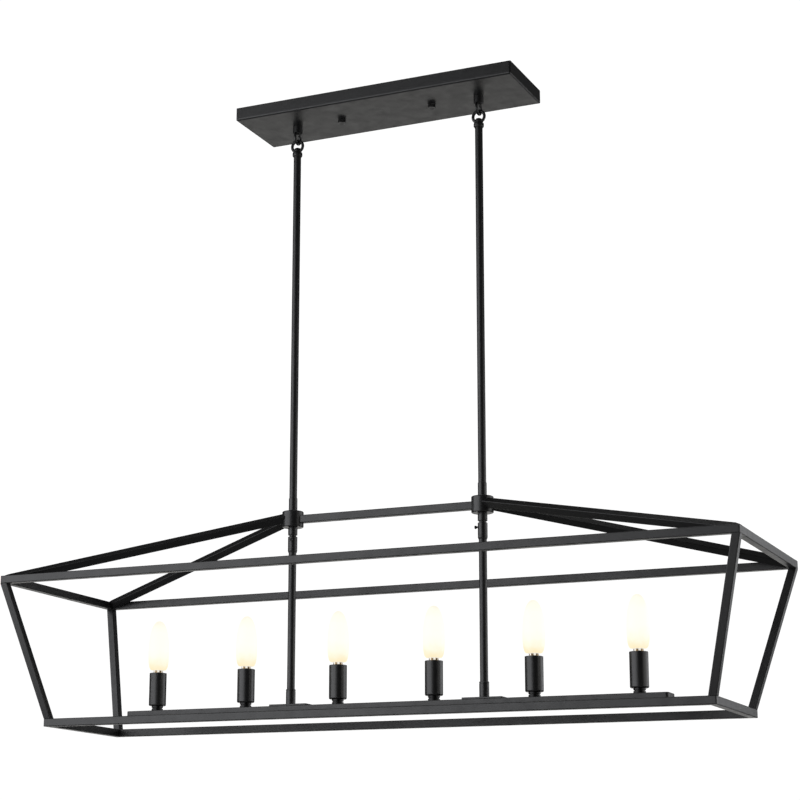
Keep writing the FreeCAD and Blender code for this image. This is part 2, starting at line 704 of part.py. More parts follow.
# ---------------------------------------------------------------- cage of square tube
def tube_edges(shape, way, radius):
    """Names of the outer edges that run along the tube."""
    def test(e):
        if len(e.Vertexes) != 2:
            return False
        a, c = e.Vertexes[0].Point, e.Vertexes[1].Point
        run = c - a
        if run.Length < 60 or abs(run.normalize().dot(way)) < 0.999:
            return False
        return radius(middle_of(e)) > 0.62 * num(D["tube"])
    return test


def frame_rail(name, long, wide_off, high, turn):
    """A rail of a mitred frame: outer side at -Y of its own frame, then turned into place."""
    t, w, c = D["tube"], D["tube_wall"], D["corner_round"]
    x = y = 0.0
    if turn == 0:
        y = -(wide_off - t / 2)
    elif turn == 180:
        y = wide_off - t / 2
    elif turn == 90:
        x = wide_off - t / 2
    else:
        x = -(wide_off - t / 2)
    b = body(name, x=x, y=y, z=high - t / 2, turn=turn)
    s = sketch(b, "YZ_Plane")
    rectangle(s, t / -2, t / -2, t / 2, t / 2)
    rectangle(s, t / -2 + w, t / -2 + w, t / 2 - w, t / 2 - w)
    pad(b, s, long, middle=True)
    fillet(b, D["tube_round"], tube_edges(b.Shape, V(1, 0, 0), lambda p: math.hypot(p.y, p.z)))
    s = sketch(b, "XY_Plane")
    for side in (-1, 1):
        e = long / 2
        pts = [(e + 4.0, t / -2 - 4.0), (e + 4.0, t / 2 + 4.0), (e - t - 4.0, t / 2 + 4.0)]
        for a in (45.0, 22.5, 0.0):
            k = math.radians(a)
            pts.append((e - c * (1 - math.sin(k)), t / -2 + c * (1 - math.cos(k))))
        pts.append((e - c, t / -2 - 4.0))
        polygon(s, [(p[0] * side, p[1]) for p in pts])
    pocket(b, s, t * 2, middle=True)
    return part(b)


for level in ("upper", "lower"):
    long, wide, high = D[level + "_len"], D[level + "_wid"], D[level + "_top"]
    frame_rail(level + "_rail_front", long, wide / 2, high, 0)
    frame_rail(level + "_rail_rear", long, wide / 2, high, 180)
    frame_rail(level + "_rail_right", wide, long / 2, high, 90)
    frame_rail(level + "_rail_left", wide, long / 2, high, 270)

# posts: square in plan at any height, leaning inwards from the upper to the lower frame
for name, sx, sy in (("front_left", -1, -1), ("front_right", 1, -1), ("rear_left", -1, 1), ("rear_right", 1, 1)):
    t, w = D["tube"], D["tube_wall"]
    top = D["upper_top"] - t
    b = body("post_" + name, x=D["post_top_x"] * sx, y=D["post_top_y"] * sy, z=top)
    s = sketch(b, "XY_Plane")
    rectangle(s, t / -2, t / -2, t / 2, t / 2)
    rectangle(s, t / -2 + w, t / -2 + w, t / 2 - w, t / 2 - w)
    f = b.newObject("PartDesign::Pad", b.Name + "_pad")
    f.Profile = s
    drop = top - D["lower_top"]
    f.Length = num(drop)
    bind(f, "Length", drop)
    f.UseCustomVector = True
    f.AlongSketchNormal = True
    lean = V(num(D["post_end_x"] - D["post_top_x"]) * sx, num(D["post_end_y"] - D["post_top_y"]) * sy, -num(drop))
    f.Direction = lean
    bind(f, "Direction.x", (D["post_end_x"] - D["post_top_x"]) * sx)
    bind(f, "Direction.y", (D["post_end_y"] - D["post_top_y"]) * sy)
    bind(f, "Direction.z", -drop)
    finish(b, f)
    unit = V(lean).normalize()

    def off_axis(p, lean=lean):
        q = p.z / lean.z
        return math.hypot(p.x - lean.x * q, p.y - lean.y * q)

    fillet(b, D["tube_round"], tube_edges(b.Shape, unit, off_axis))
    part(b)

# ridge bar: runs from hub to hub, its ends cut to their curve
t, w = D["tube"], D["tube_wall"]
b = body("ridge_tube", z=D["ridge_mid"])
s = sketch(b, "YZ_Plane")
rectangle(s, t / -2, t / -2, t / 2, t / 2)
rectangle(s, t / -2 + w, t / -2 + w, t / 2 - w, t / 2 - w)
pad(b, s, D["rod_off"] * 2, middle=True)
fillet(b, D["tube_round"], tube_edges(b.Shape, V(1, 0, 0), lambda p: math.hypot(p.y, p.z)))


def hub_tool(name, side):
    c = doc.addObject("Part::Cylinder", name)
    c.Radius = num(D["hub_rad"])
    c.Height = num(D["hub_top"] - D["hub_end"]) + 20
    bind(c, "Radius", D["hub_rad"])
    bind(c, "Height", D["hub_top"] - D["hub_end"] + 20)
    c.Placement = FreeCAD.Placement(V(num(D["rod_off"]) * side, 0, num(D["hub_end"]) - 10), FreeCAD.Rotation())
    bind(c, "Placement.Base.x", D["rod_off"] * side)
    bind(c, "Placement.Base.z", D["hub_end"] - 10)
    return c


def cut(name, base, tool):
    f = doc.addObject("Part::Cut", name)
    f.Label = name
    f.Base, f.Tool = base, tool
    doc.recompute()
    return f


both = doc.addObject("Part::MultiFuse", "ridge_hubs")
both.Shapes = [hub_tool("ridge_hub_a", -1), hub_tool("ridge_hub_b", 1)]
part(cut("ridge_bar", b, both))


# hips: from each hub down to the corner of the upper frame, tube turned about its own
# axis so that its faces follow the slopes of the roof; coped over the corner
def box(name, long, wide, high, x, y, z):
    f = doc.addObject("Part::Box", name)
    for prop, value in (("Length", long), ("Width", wide), ("Height", high)):
        setattr(f, prop, num(value))
        bind(f, prop, value)
    f.Placement = FreeCAD.Placement(V(num(x), num(y), num(z)), FreeCAD.Rotation())
    for axis, value in (("x", x), ("y", y), ("z", z)):
        bind(f, "Placement.Base." + axis, value)
    return f


def roof_outline(name):
    """The space above the upper frame's outline; its lower part leans inwards, so that
    the ends of the hips are ground down to the frame's top edge."""
    b = body(name, z=D["upper_top"])
    long, wide, rise, lean = D["upper_len"], D["upper_wid"], 9.0, 26.0
    s = sketch(b, "XY_Plane")
    block(s, long, wide)
    pad(b, s, 60.0, down=True)
    s = sketch(b, "XY_Plane")
    block(s, long - 1.0, wide - 1.0)
    f = pad(b, s, rise)
    f.TaperAngle = -math.degrees(math.atan2(lean - 8.0, rise))
    doc.recompute()
    inset = 1.0 + 2 * (lean - 8.0)
    s = sketch(b, "XY_Plane", lift=rise)
    block(s, long - inset, wide - inset)
    pad(b, s, 120.0)
    return b


for name, sx, sy in (("front_left", -1, -1), ("front_right", 1, -1), ("rear_left", -1, 1), ("rear_right", 1, 1)):
    a = V(num(D["hip_start_x"]) * sx, 0, num(D["hip_start_z"]))
    c = V(num(D["hip_end_x"]) * sx, num(D["hip_end_y"]) * sy, num(D["hip_end_z"]))
    way = V(c - a).normalize()
    out = way.cross(V(0, 0, 1)).normalize()
    if out.y * sy < 0:
        out = -out
    up = out.cross(way)
    if up.z < 0:
        up = -up
    roll = math.radians(num(D["hip_roll"]))
    z_way = out * math.sin(roll) + up * math.cos(roll)
    y_way = z_way.cross(way)
    start = a + way * (16.0 / abs(way.x))          # inside the hub, so that the cut follows its curve
    length = (c - start).Length + 40.0
    b = body("hip_tube_" + name)
    b.Placement = FreeCAD.Placement(start, FreeCAD.Rotation(way, y_way, z_way, "XYZ"))
    s = sketch(b, "YZ_Plane")
    rectangle(s, t / -2, t / -2, t / 2, t / 2)
    pad(b, s, length)
    fillet(b, D["tube_round"], tube_edges(b.Shape, V(1, 0, 0), lambda p: math.hypot(p.y, p.z)))
    s = sketch(b, "YZ_Plane")
    rectangle(s, t / -2 + w, t / -2 + w, t / 2 - w, t / 2 - w)
    pocket(b, s, length - 100.0, up=True)
    # what the hip stops against: the hub, the upper frame and its outline
    n = "_" + name
    ring = cut("frame_ring" + n,
               box("frame_out" + n, D["upper_len"] + 200, D["upper_wid"] + 200, t + 60,
                   D["upper_len"] / -2 - 100, D["upper_wid"] / -2 - 100, D["upper_top"] - t - 60),
               box("frame_in" + n, D["upper_len"] - t * 2, D["upper_wid"] - t * 2, t + 100,
                   D["upper_len"] / -2 + t, D["upper_wid"] / -2 + t, D["upper_top"] - t - 80))
    stops = doc.addObject("Part::MultiFuse", "stops" + n)
    stops.Shapes = [ring, hub_tool("hub_stop" + n, sx)]
    raw = cut("hip_raw" + n, b, stops)
    inside = roof_outline("outline" + n)
    f = doc.addObject("Part::Common", "hip_" + name)
    f.Label = "hip_" + name
    f.Base, f.Tool = raw, inside
    doc.recompute()
    part(f)

# ---------------------------------------------------------------- checks and files
doc.recompute()
for obj in doc.Objects:
    if "Invalid" in obj.State or "Error" in obj.State:
        raise RuntimeError("%s failed: %s" % (obj.Label, obj.State))
names = [obj.Label for obj, _ in PARTS]
if len(set(names)) != len(names) or len(names) > 60:
    raise RuntimeError("node names: %d, %d different" % (len(names), len(set(names))))
for obj, solids in PARTS:
    shape = obj.Shape
    if shape.isNull() or not shape.isValid():
        raise RuntimeError(obj.Label + ": shape is null or not valid")
    if len(shape.Solids) != solids:
        raise RuntimeError("%s: %d solids, not %d" % (obj.Label, len(shape.Solids), solids))

os.makedirs("parts", exist_ok=True)
total = 0.0
for obj, solids in PARTS:
    obj.Shape.exportStep("parts/%s.step" % obj.Label)
    box_ = obj.Shape.BoundBox
    total += obj.Shape.Volume
    print("%-20s %d %10.1f  x %8.2f %8.2f  y %8.2f %8.2f  z %9.2f %9.2f" % (
        obj.Label, solids, obj.Shape.Volume, box_.XMin, box_.XMax, box_.YMin, box_.YMax, box_.ZMin, box_.ZMax))
print("%d nodes, %.0f mm3" % (len(PARTS), total))
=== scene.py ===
import json
import math

import bmesh
import bpy
from mathutils import Matrix, Vector


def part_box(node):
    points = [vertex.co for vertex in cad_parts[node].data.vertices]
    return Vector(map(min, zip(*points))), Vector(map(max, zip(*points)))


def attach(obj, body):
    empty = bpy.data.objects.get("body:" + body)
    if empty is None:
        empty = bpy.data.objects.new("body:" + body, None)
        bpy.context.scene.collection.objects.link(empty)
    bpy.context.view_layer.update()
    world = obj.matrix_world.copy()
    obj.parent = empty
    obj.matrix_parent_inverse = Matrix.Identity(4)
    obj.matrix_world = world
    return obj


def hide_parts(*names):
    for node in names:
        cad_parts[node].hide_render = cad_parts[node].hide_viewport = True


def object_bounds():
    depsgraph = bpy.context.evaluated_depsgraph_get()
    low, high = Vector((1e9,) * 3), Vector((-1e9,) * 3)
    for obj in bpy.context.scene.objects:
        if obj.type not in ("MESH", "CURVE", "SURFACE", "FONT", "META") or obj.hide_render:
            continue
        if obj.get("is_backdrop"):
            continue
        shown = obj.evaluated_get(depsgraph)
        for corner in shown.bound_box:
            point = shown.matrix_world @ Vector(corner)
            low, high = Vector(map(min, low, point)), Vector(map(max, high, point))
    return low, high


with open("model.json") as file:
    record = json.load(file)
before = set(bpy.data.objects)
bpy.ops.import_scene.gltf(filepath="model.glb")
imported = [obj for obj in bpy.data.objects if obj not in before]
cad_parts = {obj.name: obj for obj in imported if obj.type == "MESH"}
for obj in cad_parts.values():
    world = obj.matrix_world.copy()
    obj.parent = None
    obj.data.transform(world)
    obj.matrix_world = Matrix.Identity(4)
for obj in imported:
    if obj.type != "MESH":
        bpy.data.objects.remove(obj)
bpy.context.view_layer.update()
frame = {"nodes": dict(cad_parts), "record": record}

# Linear island pendant: finishes, turned and threaded details, bulbs, studio.
# Metres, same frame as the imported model: ceiling plane z = 0, X along the
# canopy, -Y towards the front.
MM = 0.001
NODES = frame["nodes"]

# ------------------------------------------------------------------ materials


class Finish:
    """One procedural material: a Principled shader and the nodes that feed it."""

    def __init__(self, name, **values):
        self.material = bpy.data.materials.new(name)
        self.material.use_nodes = True
        self.tree = self.material.node_tree
        self.shader = self.tree.nodes["Principled BSDF"]
        self.place = self.node("ShaderNodeTexCoord").outputs["Object"]
        for key, value in values.items():
            self.set(key.replace("_", " "), value)

    def node(self, kind, **props):
        n = self.tree.nodes.new(kind)
        for key, value in props.items():
            setattr(n, key, value)
        return n

    def set(self, socket, value):
        self.shader.inputs[socket].default_value = value

    def link(self, out, into):
        self.tree.links.new(out, into)

    def stretched(self, x=1.0, y=1.0, z=1.0):
        n = self.node("ShaderNodeMapping")
        n.inputs["Scale"].default_value = (x, y, z)
        self.link(self.place, n.inputs["Vector"])
        return n.outputs["Vector"]

    def noise(self, scale, detail=2.0, rough=0.5, where=None, distortion=0.0):
        n = self.node("ShaderNodeTexNoise")
        n.inputs["Scale"].default_value = scale
        n.inputs["Detail"].default_value = detail
        n.inputs["Roughness"].default_value = rough
        n.inputs["Distortion"].default_value = distortion
        self.link(where or self.place, n.inputs["Vector"])
        return n.outputs["Fac"]

    def cells(self, scale, where=None):
        n = self.node("ShaderNodeTexVoronoi")
        n.inputs["Scale"].default_value = scale
        self.link(where or self.place, n.inputs["Vector"])
        return n.outputs["Color"]

    def span(self, value, a, b, low=0.0, high=1.0, smooth=False):
        n = self.node("ShaderNodeMapRange", clamp=True)
        if smooth:
            n.interpolation_type = "SMOOTHSTEP"
        for key, v in (("From Min", a), ("From Max", b), ("To Min", low), ("To Max", high)):
            n.inputs[key].default_value = v
        self.link(value, n.inputs["Value"])
        return n.outputs["Result"]

    def math(self, kind, a, b):
        n = self.node("ShaderNodeMath", operation=kind)
        for k, v in enumerate((a, b)):
            if isinstance(v, (int, float)):
                n.inputs[k].default_value = v
            else:
                self.link(v, n.inputs[k])
        return n.outputs["Value"]

    def ramp(self, value, stops):
        n = self.node("ShaderNodeValToRGB")
        e = n.color_ramp.elements
        while len(e) > 1:
            e.remove(e[0])
        e[0].position, e[0].color = stops[0][0], (*stops[0][1], 1)
        for at, colour in stops[1:]:
            s = e.new(at)
            s.color = (*colour, 1)
        self.link(value, n.inputs["Fac"])
        return n.outputs["Color"]

    def mix(self, share, a, b):
        n = self.node("ShaderNodeMix", data_type="RGBA")
        self.link(share, n.inputs["Factor"])
        for key, v in (("A", a), ("B", b)):
            s = [i for i in n.inputs if i.name == key and i.type == "RGBA"][0]
            if isinstance(v, tuple):
                s.default_value = (*v, 1)
            else:
                self.link(v, s)
        return [o for o in n.outputs if o.type == "RGBA"][0]

    def bump(self, height, distance, strength=1.0, under=None):
        n = self.node("ShaderNodeBump")
        n.inputs["Distance"].default_value = distance
        n.inputs["Strength"].default_value = strength
        self.link(height, n.inputs["Height"])
        if under is not None:
            self.link(under, n.inputs["Normal"])
        return n.outputs["Normal"]

    def edges(self, radius, a=0.02, b=0.22):
        """1 on convex and concave edges, 0 on flats, from the rounded normal."""
        bevel = self.node("ShaderNodeBevel", samples=4)
        bevel.inputs["Radius"].default_value = radius
        real = self.node("ShaderNodeNewGeometry").outputs["Normal"]
        dot = self.node("ShaderNodeVectorMath", operation="DOT_PRODUCT")
        self.link(bevel.outputs["Normal"], dot.inputs[0])
        self.link(real, dot.inputs[1])
        return self.span(self.math("SUBTRACT", 1.0, dot.outputs["Value"]), a, b)

    def rounded_box(self, half_x, half_y, low, radius):
        """Bump height that rolls the lower edges and upright corners of a box over."""
        part = self.node("ShaderNodeSeparateXYZ")
        self.link(self.place, part.inputs["Vector"])
        a = self.math("SUBTRACT", part.outputs["Z"], low)
        b = self.math("SUBTRACT", half_y, self.math("ABSOLUTE", part.outputs["Y"], 0.0))
        c = self.math("SUBTRACT", half_x, self.math("ABSOLUTE", part.outputs["X"], 0.0))
        total = None
        for p, q in ((a, b), (a, c), (b, c)):
            near = self.math("SUBTRACT", radius, self.math("ADD", p, q))
            near = self.math("MAXIMUM", near, 0.0)
            cube = self.math("POWER", self.math("DIVIDE", near, radius), 3.0)
            drop = self.math("MULTIPLY", cube, -radius / 3.0)
            total = drop if total is None else self.math("ADD", total, drop)
        return total

    def feed(self, socket, out):
        self.link(out, self.shader.inputs[socket])


def coat(name, tone, peel, peel_depth, rough, edge_wear_and_highlight=0.5, fold=0.0, box=None, shine=0.5):
    """Satin powder coat on steel: fine grain, orange peel, uneven gloss, lighter edges that are partly paint wear
    and partly painted highlight.
    """
    f = Finish(name, Metallic=0.0, IOR=1.5)
    f.shader.inputs["Specular IOR Level"].default_value = shine
    dark = tuple(0.80 * c for c in tone)
    light = tuple(1.16 * c for c in tone)
    drift = f.noise(9.0, 3.0, 0.55)
    grain = f.noise(1500.0, 2.0, 0.6)
    base = f.mix(f.span(drift, 0.35, 0.65), dark, light)
    base = f.mix(f.span(grain, 0.62, 0.78, 0.0, 0.35), base, tuple(2.0 * c for c in tone))
    patch = f.noise(46.0, 4.0, 0.6, distortion=0.4)
    # Lighter edges: partly paint wear, partly a painted highlight along the rounded edges.
    edge = f.math("MULTIPLY", f.edges(1.1 * MM), f.span(patch, 0.38, 0.66, 0.15, edge_wear_and_highlight))
    base = f.mix(edge, base, (0.050, 0.046, 0.042))
    f.feed("Base Color", base)
    gloss = f.span(patch, 0.30, 0.70, rough - 0.045, rough + 0.055)
    gloss = f.math("ADD", gloss, f.span(grain, 0.30, 0.70, -0.02, 0.03))
    f.feed("Roughness", gloss)
    soft = None
    if fold:
        soft = f.node("ShaderNodeBevel", samples=6)
        soft.inputs["Radius"].default_value = fold
        soft = soft.outputs["Normal"]
    if box:
        soft = f.bump(f.rounded_box(*box), 1.0, 1.0, under=soft)
    skin = f.bump(f.noise(peel, 2.0, 0.5), peel_depth, 0.55, under=soft)
    skin = f.bump(grain, 0.012 * MM, 0.5, under=skin)
    f.feed("Normal", skin)
    return f.material


def sleeve_black():
    """Satin black tube of the lamp holders: faint drawing lines along it, soft scuffs."""
    f = Finish("sleeve_black", Metallic=0.0, IOR=1.5)
    lines = f.noise(700.0, 2.0, 0.5, where=f.stretched(1, 1, 0.03))
    scuff = f.noise(60.0, 5.0, 0.65, distortion=0.8)
    base = f.mix(f.span(scuff, 0.42, 0.72), (0.0072, 0.0072, 0.0073), (0.0105, 0.0103, 0.0100))
    edge = f.math("MULTIPLY", f.edges(0.8 * MM), f.span(scuff, 0.35, 0.65, 0.1, 0.6))
    f.feed("Base Color", f.mix(edge, base, (0.040, 0.037, 0.033)))
    f.feed("Roughness", f.math("ADD", f.span(scuff, 0.3, 0.7, 0.30, 0.36),
                               f.span(lines, 0.3, 0.7, -0.02, 0.03)))
    f.feed("Normal", f.bump(f.noise(900.0, 2.0, 0.5), 0.008 * MM, 0.4,
                            under=f.bump(lines, 0.0012 * MM, 0.4)))
    return f.material


def zinc():
    """Passivated zinc plate: bluish spangle, streaks, dull handling marks."""
    f = Finish("zinc_plate", Metallic=1.0)
    spangle = f.cells(420.0)
    streak = f.noise(500.0, 3.0, 0.6, where=f.stretched(0.06, 1, 1))
    stain = f.noise(55.0, 4.0, 0.6, distortion=0.6)
    grey = f.node("ShaderNodeRGBToBW")
    f.link(spangle, grey.inputs["Color"])
    base = f.mix(f.span(grey.outputs["Val"], 0.2, 0.8), (0.50, 0.52, 0.55), (0.62, 0.63, 0.64))
    base = f.mix(f.span(stain, 0.50, 0.72), base, (0.44, 0.42, 0.36))
    f.feed("Base Color", base)
    f.feed("Roughness", f.math("ADD", f.span(streak, 0.3, 0.7, 0.26, 0.40),
                               f.span(stain, 0.45, 0.7, 0.0, 0.12)))
    f.feed("Normal", f.bump(streak, 0.015 * MM, 0.5))
    return f.material


def ground_green():
    """Green dyed zinc of the earth screw."""
    f = Finish("green_zinc", Metallic=0.85)
    wear = f.noise(420.0, 4.0, 0.6)
    base = f.mix(f.span(wear, 0.40, 0.70), (0.020, 0.165, 0.055), (0.060, 0.290, 0.110))
    f.feed("Base Color", f.mix(f.edges(0.4 * MM), base, (0.42, 0.45, 0.40)))
    f.feed("Roughness", f.span(wear, 0.3, 0.7, 0.28, 0.44))
    f.feed("Normal", f.bump(wear, 0.02 * MM, 0.5))
    return f.material


def brass(name, tone, tarnish):
    """Pressed sheet metal of the socket and bulb cap: brushed, a little tarnished."""
    f = Finish(name, Metallic=1.0)
    spots = f.noise(260.0, 5.0, 0.62, distortion=0.5)
    brush = f.noise(1300.0, 2.0, 0.5, where=f.stretched(1, 1, 0.08))
    f.feed("Base Color", f.mix(f.span(spots, 0.42, 0.68), tone, tarnish))
    f.feed("Roughness", f.math("ADD", f.span(spots, 0.3, 0.7, 0.22, 0.38),
                               f.span(brush, 0.3, 0.7, -0.03, 0.05)))
    f.feed("Normal", f.bump(brush, 0.008 * MM, 0.5))
    return f.material


def resin(name, tone, speck):
    """Moulded socket resin: filled, slightly speckled, matt."""
    f = Finish(name, Metallic=0.0, IOR=1.54)
    dust = f.noise(1700.0, 3.0, 0.6)
    cloud = f.noise(80.0, 3.0, 0.6)
    base = f.mix(f.span(cloud, 0.3, 0.7), tone, tuple(1.3 * c for c in tone))
    f.feed("Base Color", f.mix(f.span(dust, 0.62, 0.76), base, speck))
    f.feed("Roughness", f.span(cloud, 0.3, 0.7, 0.42, 0.58))
    f.feed("Normal", f.bump(dust, 0.01 * MM, 0.5))
    return f.material


def bulb_glass():
    """Frosted glass, lit from inside: nearly white in the middle, warmer at both
    ends and towards the rim, with the faint mottling of the frosting."""
    f = Finish("frosted_glass", Metallic=0.0, IOR=1.5, Roughness=0.45)
    split = f.node("ShaderNodeSeparateXYZ")
    f.link(f.place, split.inputs["Vector"])
    cloud = f.noise(70.0, 3.0, 0.55)
    frost = f.noise(2400.0, 2.0, 0.6)
    high = f.math("ADD", f.span(split.outputs["Z"], -0.949, -0.866),
                  f.span(cloud, 0.3, 0.7, -0.045, 0.045))
    along = f.ramp(high, ((0.00, (0.98, 0.84, 0.56)), (0.07, (0.98, 0.88, 0.64)),
                          (0.15, (1.00, 0.94, 0.76)), (0.26, (1.00, 0.98, 0.86)),
                          (0.42, (1.00, 1.00, 0.91)), (0.75, (1.00, 1.00, 0.91)),
                          (0.90, (1.00, 0.97, 0.85)), (1.00, (0.94, 0.90, 0.76))))
    rim = f.node("ShaderNodeLayerWeight")
    rim.inputs["Blend"].default_value = 0.30
    rim_share = f.span(rim.outputs["Facing"], 0.55, 1.0, 0.0, 0.50, smooth=True)
    glow = f.mix(rim_share, along, (1.00, 1.00, 0.93))
    f.feed("Emission Color", glow)
    f.set("Emission Strength", 1.02)
    f.feed("Base Color", f.mix(f.span(frost, 0.4, 0.6), (0.020, 0.016, 0.008), (0.035, 0.028, 0.014)))
    f.set("Specular IOR Level", 0.15)
    f.feed("Normal", f.bump(frost, 0.01 * MM, 0.35))
    return f.material


def porcelain():
    """White ring between glass and cap, with a painted glow standing in for lamp light shining through it."""
    f = Finish("white_collar", Metallic=0.0, IOR=1.52)
    cloud = f.noise(300.0, 3.0, 0.6)
    f.feed("Base Color", f.mix(f.span(cloud, 0.3, 0.7), (0.40, 0.38, 0.33), (0.48, 0.46, 0.41)))
    # Emission here is painted glow, not a lamp.
    f.feed("Emission Color", f.mix(f.span(cloud, 0.3, 0.7), (1.0, 0.93, 0.80), (1.0, 0.96, 0.88)))
    f.set("Emission Strength", 0.75)
    f.feed("Roughness", f.span(cloud, 0.3, 0.7, 0.30, 0.42))
    return f.material


def floor_paint():
    """Pale matt floor, dim in reflections, see-through from underneath."""
    f = Finish("floor_paint", Metallic=0.0, IOR=1.45)
    cloud = f.noise(1.3, 3.0, 0.5)
    grain = f.noise(90.0, 3.0, 0.6)
    seen = f.node("ShaderNodeLightPath").outputs["Is Camera Ray"]
    pale = f.mix(f.span(cloud, 0.3, 0.7), (0.74, 0.74, 0.735), (0.77, 0.77, 0.765))
    dim = f.mix(f.span(cloud, 0.3, 0.7), (0.16, 0.16, 0.16), (0.18, 0.18, 0.18))
    f.feed("Base Color", f.mix(seen, dim, (0.05, 0.05, 0.05)))
    f.feed("Emission Color", pale)
    f.feed("Emission Strength", f.math("MULTIPLY", seen, 0.92))
    f.feed("Roughness", f.span(grain, 0.3, 0.7, 0.70, 0.82))
    f.feed("Normal", f.bump(grain, 0.2 * MM, 0.2))
    under = f.node("ShaderNodeNewGeometry").outputs["Backfacing"]
    clear = f.node("ShaderNodeBsdfTransparent")
    pick = f.node("ShaderNodeMixShader")
    f.link(under, pick.inputs[0])
    f.link(f.shader.outputs[0], pick.inputs[1])
    f.link(clear.outputs[0], pick.inputs[2])
    f.link(pick.outputs[0], f.tree.nodes["Material Output"].inputs["Surface"])
    return f.material


TONE = (0.0074, 0.0074, 0.0077)
tube_coat = coat("tube_coat", TONE, 420.0, 0.020 * MM, 0.37)
sheet_coat = coat("sheet_coat", TONE, 300.0, 0.012 * MM, 0.36, edge_wear_and_highlight=0.9,
                  fold=1.2 * MM)
canopy_coat = coat("canopy_coat", TONE, 300.0, 0.012 * MM, 0.36, edge_wear_and_highlight=0.7,
                   box=(0.25, 0.071, -0.0225, 4.0 * MM))
turned_coat = coat("turned_coat", tuple(0.92 * c for c in TONE), 650.0, 0.015 * MM, 0.33)
cast_coat = coat("cast_coat", TONE, 330.0, 0.035 * MM, 0.36, edge_wear_and_highlight=0.65)
# Darker, less shiny copy of the frame coat: painted shade on the hip tubes.
hip_painted_shade_coat = coat("hip_painted_shade_coat", tuple(0.85 * c for c in TONE), 420.0, 0.020 * MM, 0.35, edge_wear_and_highlight=0.4,
                shine=0.32)
# Darker, less shiny copy for the holder necks: painted shade from the sleeves above them.
neck_painted_shade_coat = coat("neck_painted_shade_coat", tuple(0.6 * c for c in TONE), 650.0, 0.015 * MM, 0.27,
                 edge_wear_and_highlight=0.3, shine=0.22)
sleeve_mat = sleeve_black()
zinc_mat = zinc()
green_mat = ground_green()
shell_mat = brass("shell_brass", (0.25, 0.175, 0.095), (0.06, 0.042, 0.026))
cap_mat = brass("cap_nickel", (0.56, 0.53, 0.48), (0.38, 0.34, 0.28))
resin_mat = resin("socket_resin", (0.020, 0.017, 0.015), (0.075, 0.065, 0.055))
pip_mat = resin("cap_insulator", (0.012, 0.011, 0.012), (0.05, 0.05, 0.05))
glass_mat = bulb_glass()
collar_mat = porcelain()

BY_NODE = {
    "canopy": canopy_coat, "foot_plates": sheet_coat, "lamp_bar": sheet_coat,
    "lamp_bar_cover": sheet_coat,
    "hip_front_left": hip_painted_shade_coat, "hip_front_right": hip_painted_shade_coat,
    "hip_rear_left": hip_painted_shade_coat, "hip_rear_right": hip_painted_shade_coat,
    "canopy_loop_left": cast_coat, "canopy_loop_right": cast_coat,
    "rod_loop_left": cast_coat, "rod_loop_right": cast_coat,
    "hub_left": turned_coat, "hub_right": turned_coat, "hub_stubs": turned_coat,
    "coupler_left": turned_coat, "coupler_right": turned_coat,
    "rod_ferrules": turned_coat, "rod_feet": turned_coat,
    "holder_necks": neck_painted_shade_coat, "candle_sleeves": sleeve_mat,
    "mounting_strap": zinc_mat, "ground_screw": green_mat,
    "socket_bodies": resin_mat, "socket_shells": shell_mat, "socket_contacts": shell_mat,
}
for name, node in NODES.items():
    mat = BY_NODE.get(name)
    if mat is None:
        slot = next((m.get("slot") for m in frame["record"].get("materials", [])
                     if name in (m.get("nodes") or [])), "")
        mat = zinc_mat if slot == "zinc_steel" else glass_mat if name.startswith("bulb_") else tube_coat
        if "nipples" in name or "nuts" in name or "studs" in name:
            mat = zinc_mat
    node.data.materials.clear()
    node.data.materials.append(mat)

# --------------------------------------------------------------- mesh helpers


def piece(name, bm, material, body, smooth_angle=34.0, instead=()):
    """A finished mesh piece: welded, faces outward, smooth but for its sharp edges."""
    bmesh.ops.remove_doubles(bm, verts=bm.verts, dist=0.000002)
    bmesh.ops.recalc_face_normals(bm, faces=bm.faces)
    limit = math.radians(smooth_angle)
    for f in bm.faces:
        f.smooth = True
    for e in bm.edges:
        if len(e.link_faces) == 2 and e.calc_face_angle(0.0) > limit:
            e.smooth = False
    mesh = bpy.data.meshes.new(name)
    bm.to_mesh(mesh)
    bm.free()
    mesh.materials.append(material)
    obj = bpy.data.objects.new(name, mesh)
    bpy.context.scene.collection.objects.link(obj)
    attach(obj, body)
    if instead:
        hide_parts(*instead)
    return obj


def grid(bm, rings, matrix, closed=False):
    """Skins a list of rings, each a list of points or one point on the axis."""
    made = [[bm.verts.new(matrix @ Vector(p)) for p in ring] for ring in rings]
    pairs = list(zip(made, made[1:]))
    if closed:
        pairs.append((made[-1], made[0]))
    for a, b in pairs:
        n = max(len(a), len(b))
        for k in range(n):
            quad = [a[k % len(a)], a[(k + 1) % len(a)], b[(k + 1) % len(b)], b[k % len(b)]]
            face = []
            for v in quad:
                if v not in face:
                    face.append(v)
            if len(face) > 2:
                bm.faces.new(face)


def turned(bm, outline, matrix, steps=48, closed=False, shape=None):
    """Revolves (radius, height) points in mm round Z; shape(angle, radius, height, k)
    may change the radius, for knurls, threads and hexagons."""
    rings = []
    for k, (r, z) in enumerate(outline):
        if r <= 0.0:
            rings.append([(0.0, 0.0, z * MM)])
            continue
        ring = []
        for j in range(steps):
            a = math.tau * j / steps
            q = shape(a, r, z, k) if shape else r
            ring.append((q * MM * math.cos(a), q * MM * math.sin(a), z * MM))
        rings.append(ring)
    grid(bm, rings, matrix, closed=closed)


def at(x, y=0.0, z=0.0):
    return Matrix.Translation((x * MM, y * MM, z * MM))


